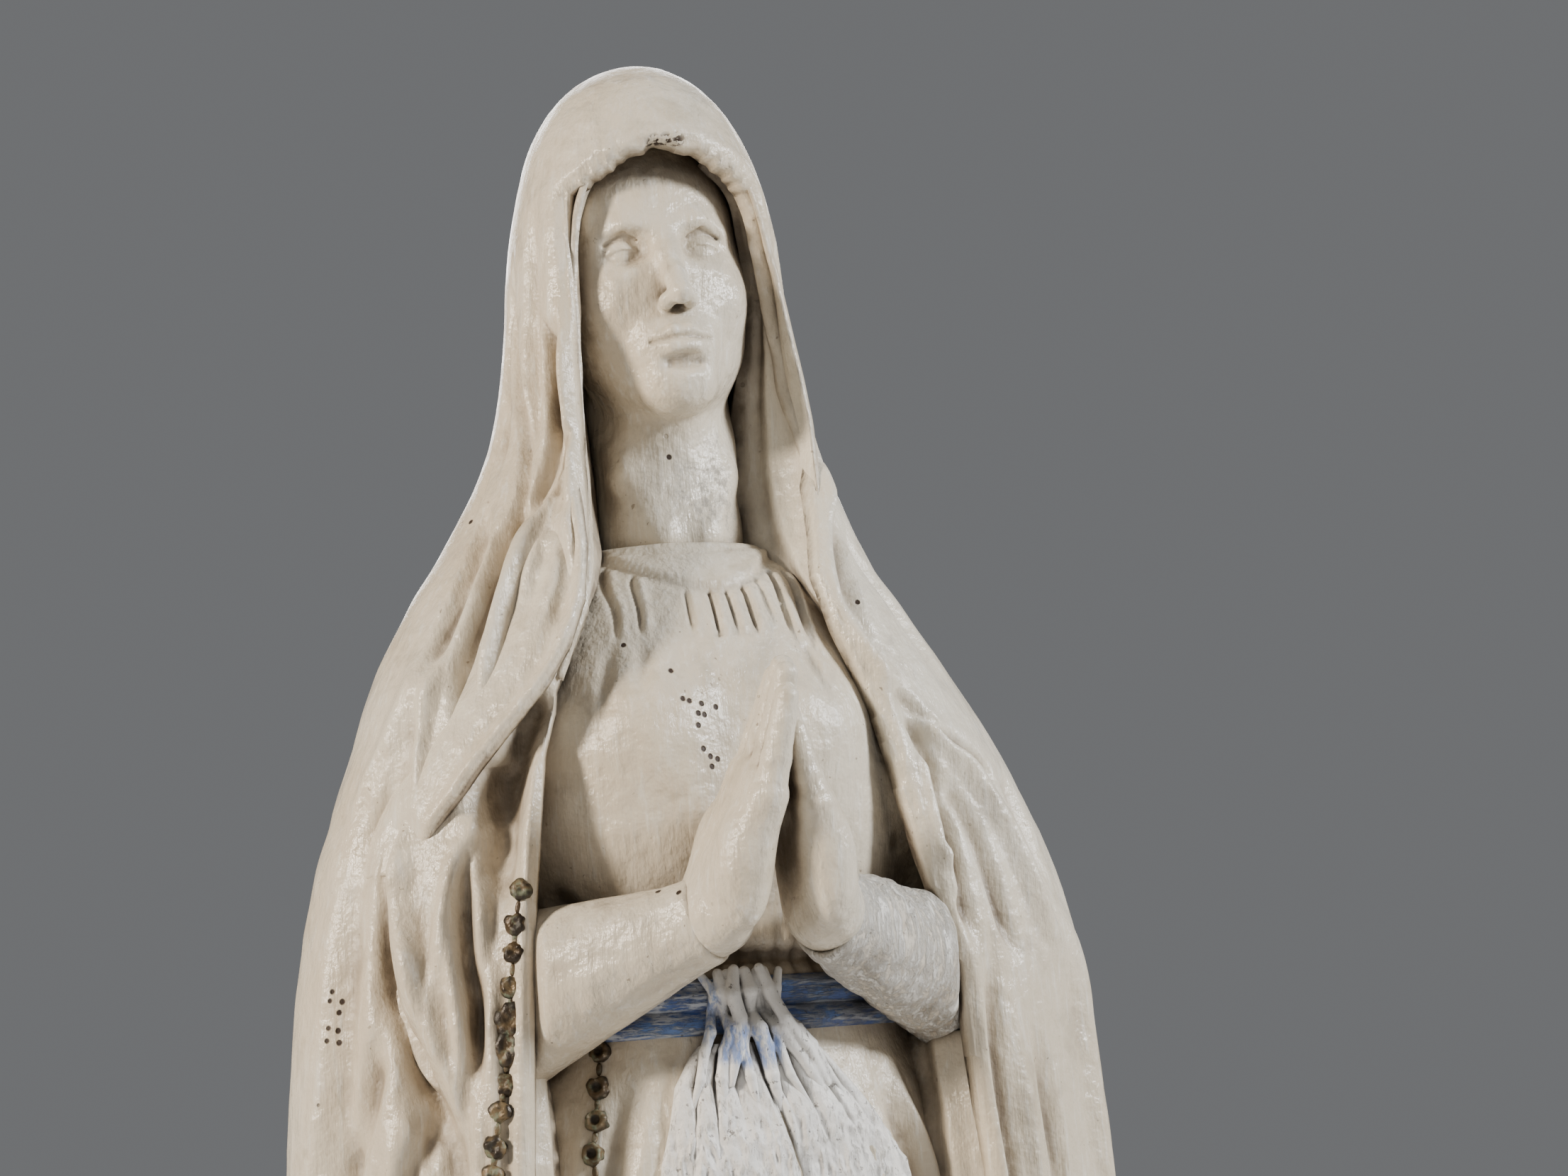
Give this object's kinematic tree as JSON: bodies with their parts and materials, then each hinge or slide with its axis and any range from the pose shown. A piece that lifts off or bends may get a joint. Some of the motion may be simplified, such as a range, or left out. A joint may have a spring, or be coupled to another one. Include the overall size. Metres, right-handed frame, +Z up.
{
  "type": "madonna statue",
  "caption": "Standing veiled woman with joined hands, hollow cast in separate pieces, with a sash and rosary, on a rock mound and oval wooden plinth.",
  "frame": {"origin": "centre of the flat underside that the statue stands on", "axes": "+Z up, the figure faces -Y, +X to the figure's left"},
  "size_m": [0.3, 0.27, 1],
  "materials": {
    "ivory_paint": "brushed ivory gloss paint over cast plaster, grimy in the recesses, with pinholes",
    "blue_sash_paint": "brushed blue paint, worn and dirty",
    "white_sash_paint": "rough white repaint with traces of blue",
    "bronze_paint": "bronze paint gone brown and green",
    "gilt_paint": "dulled gold paint over cast plaster",
    "rock_paint": "stone-coloured matt paint over cast plaster",
    "painted_wood": "dark stained and varnished softwood",
    "raw_wood": "sawn softwood",
    "iron": "rusty wrought iron",
    "steel": "plain steel screws",
    "felt": "green baize"
  },
  "bodies": {
    "root": {"veil_and_mantle": "ivory_paint", "robe": "ivory_paint", "head_and_neck": "ivory_paint", "left_forearm": "ivory_paint", "right_forearm": "ivory_paint", "left_hand": "ivory_paint", "right_hand": "ivory_paint", "left_foot": "ivory_paint", "right_foot": "ivory_paint", "sash_band": "blue_sash_paint", "sash_knot": "blue_sash_paint", "left_sash_tail": "white_sash_paint", "right_sash_tail": "white_sash_paint", "rosary_small_beads": "bronze_paint", "rosary_large_beads": "bronze_paint", "rosary_medal": "bronze_paint", "rosary_cross": "bronze_paint", "left_rose": "gilt_paint", "right_rose": "gilt_paint", "rock_mound": "rock_paint", "plinth": "painted_wood", "screw_blocks": "raw_wood", "shoulder_batten": "raw_wood", "tie_rod": "iron", "lower_nut": "iron", "upper_nut": "iron", "lower_washer": "iron", "upper_washer": "iron", "left_elbow_pin": "iron", "right_elbow_pin": "iron", "left_wrist_pin": "iron", "right_wrist_pin": "iron", "left_foot_pin": "iron", "right_foot_pin": "iron", "neck_pin": "iron", "base_screws": "steel", "base_felt": "felt"}
  },
  "joints": []
}
